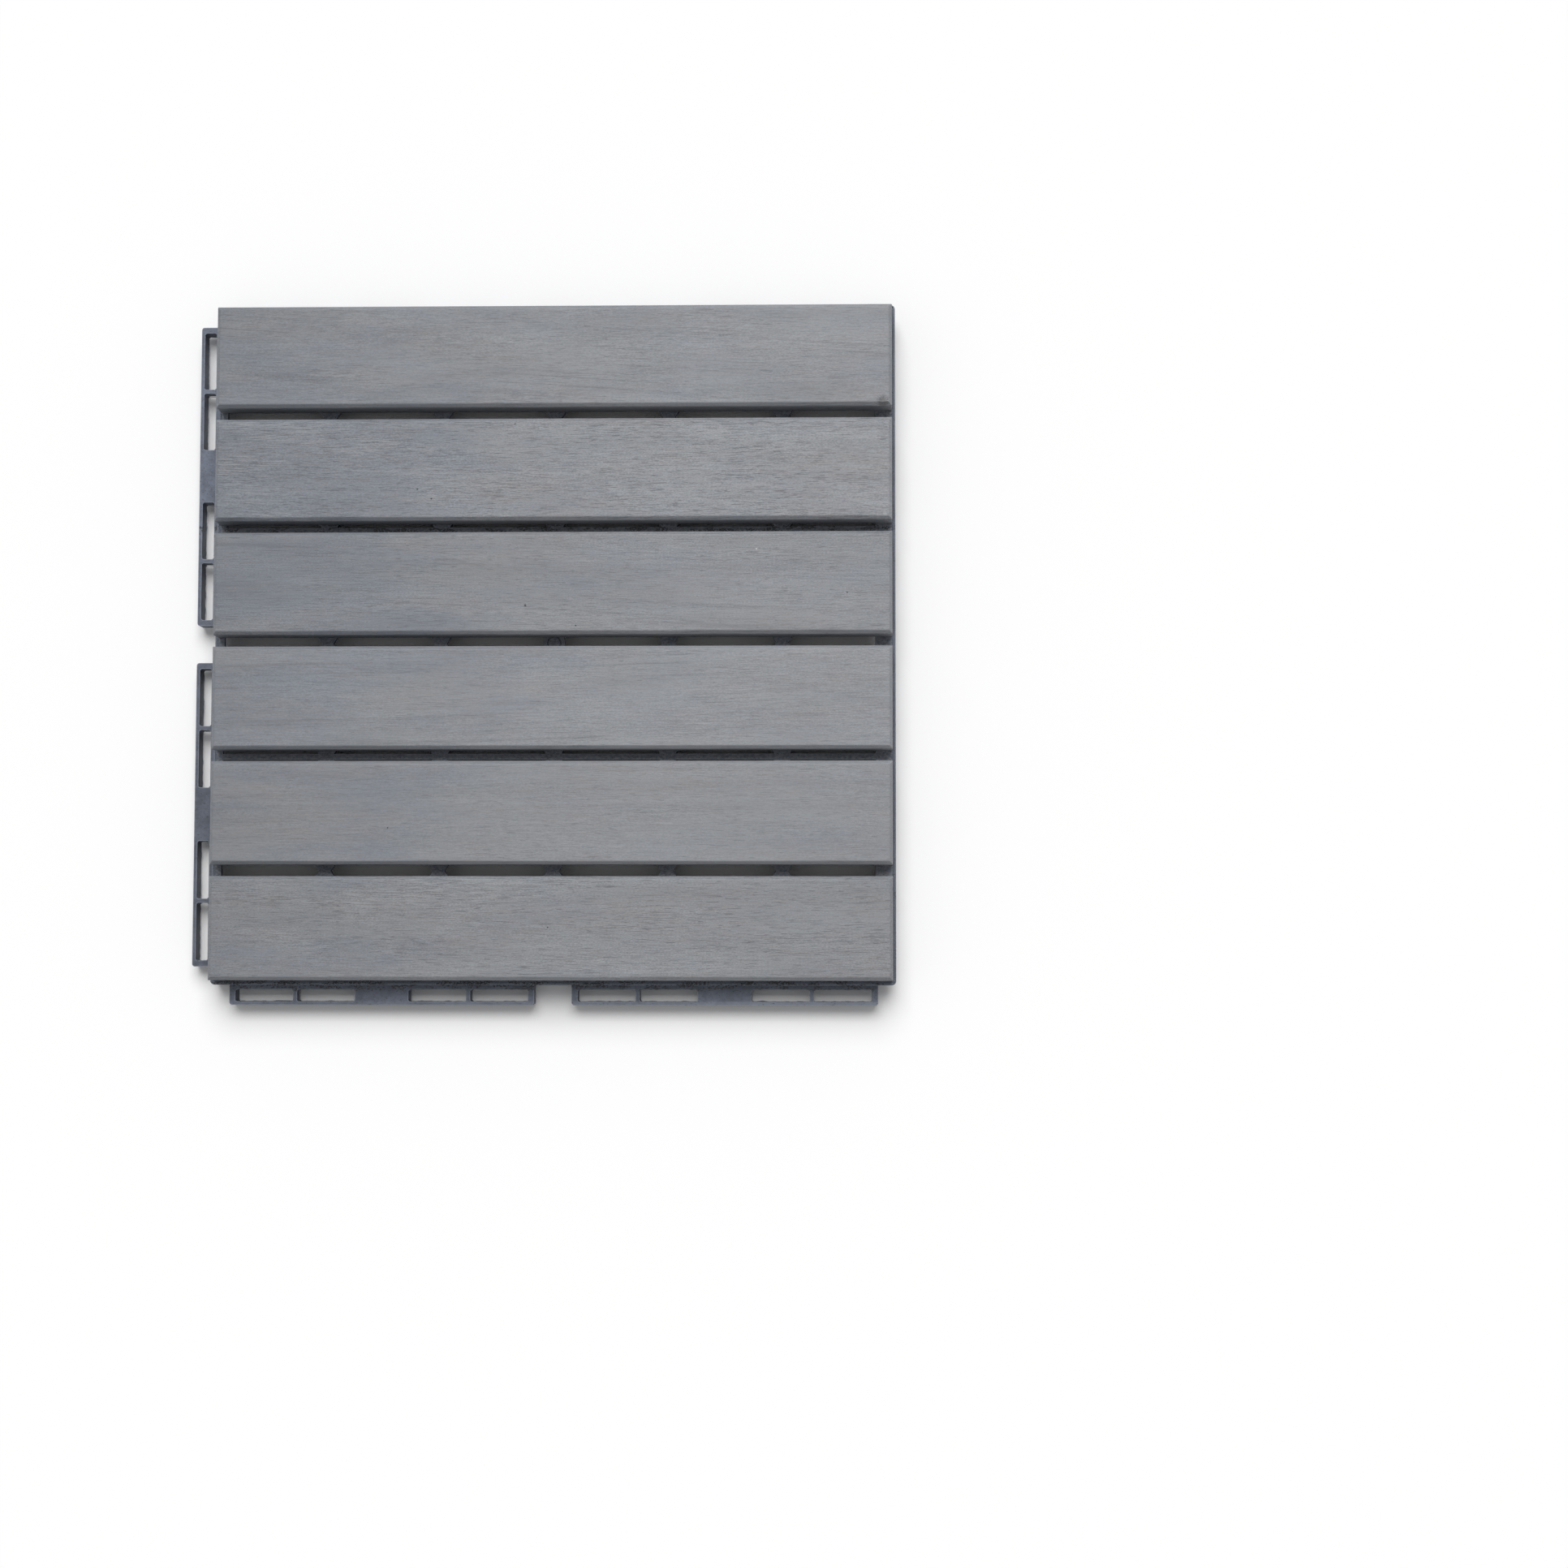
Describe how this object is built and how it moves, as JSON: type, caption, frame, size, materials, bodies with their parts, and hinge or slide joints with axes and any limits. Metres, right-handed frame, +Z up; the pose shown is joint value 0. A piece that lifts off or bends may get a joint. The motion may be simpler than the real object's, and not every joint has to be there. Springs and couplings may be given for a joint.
{
  "type": "interlocking deck tile",
  "caption": "Square outdoor deck tile: wood slats screwed from below to a moulded plastic grid, with slotted loops on two sides and pegs on the other two.",
  "frame": {"origin": "on the ground, under the middle of the slat field, which is the middle of the 300 mm cell that the tile fills when laid", "axes": "+Z up, the slats run along X, loops on the -X and -Y sides, pegs on the +X and +Y sides"},
  "size_m": [0.3068, 0.3068, 0.024],
  "materials": {
    "grid_plastic": "moulded slate grey plastic, faintly mottled, with specks of dirt",
    "slat_wood": "grey stained, sanded hardwood with fine open pores",
    "screw_steel": "zinc plated"
  },
  "bodies": {
    "root": {"base_grid": "grid_plastic", "slat_1": "slat_wood", "slat_2": "slat_wood", "slat_3": "slat_wood", "slat_4": "slat_wood", "slat_5": "slat_wood", "slat_6": "slat_wood", "slat_screws": "screw_steel"}
  },
  "joints": []
}
